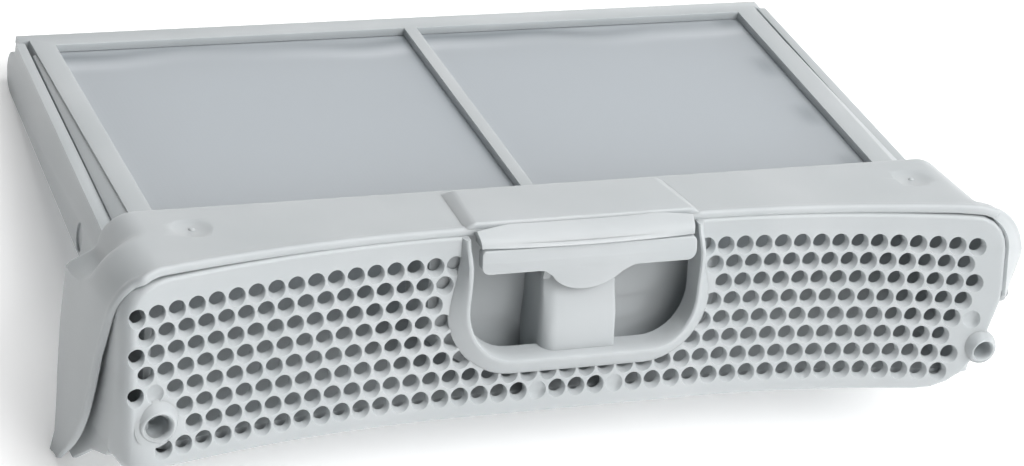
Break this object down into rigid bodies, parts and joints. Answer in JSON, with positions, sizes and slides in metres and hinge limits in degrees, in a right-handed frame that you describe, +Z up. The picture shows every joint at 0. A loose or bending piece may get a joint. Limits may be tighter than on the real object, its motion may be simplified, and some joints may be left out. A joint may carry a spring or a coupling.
{
  "type": "tumble dryer lint filter",
  "caption": "Fold-open lint filter: fine mesh pocket behind a curved perforated front, with a finger recess, a sprung latch bar and a hinge along its far end.",
  "frame": {"origin": "on the table under the middle of the closed filter's box, which lies on its two front feet and its round hinge end", "axes": "+X across the filter, +Y from the perforated front to the hinge, +Z up"},
  "size_m": [0.3402, 0.2012, 0.0878],
  "materials": {
    "housing": "satin moulded plastic",
    "mesh": "fine woven screen",
    "pin": "bright"
  },
  "bodies": {
    "lower_half": {"front_grille": "housing", "latch_pin": "pin", "lower_frame": "housing", "lower_mesh": "mesh"},
    "upper_half": {"upper_frame": "housing", "upper_mesh": "mesh", "front_hood": "housing"},
    "latch": {"latch_bar": "housing"}
  },
  "joints": [
    {"name": "pocket_hinge", "type": "hinge", "parent": "lower_half", "child": "upper_half", "pos_m": [0, 0.09084, 0.008], "axis": [-1, 0, 0], "range_deg": [0, 100]},
    {"name": "latch_pivot", "type": "hinge", "parent": "lower_half", "child": "latch", "pos_m": [0, -0.05615, 0.07307], "axis": [1, 0, 0], "range_deg": [0, 8], "stiffness_Nm_per_rad": 0.15, "springref_deg": -8.59}
  ]
}
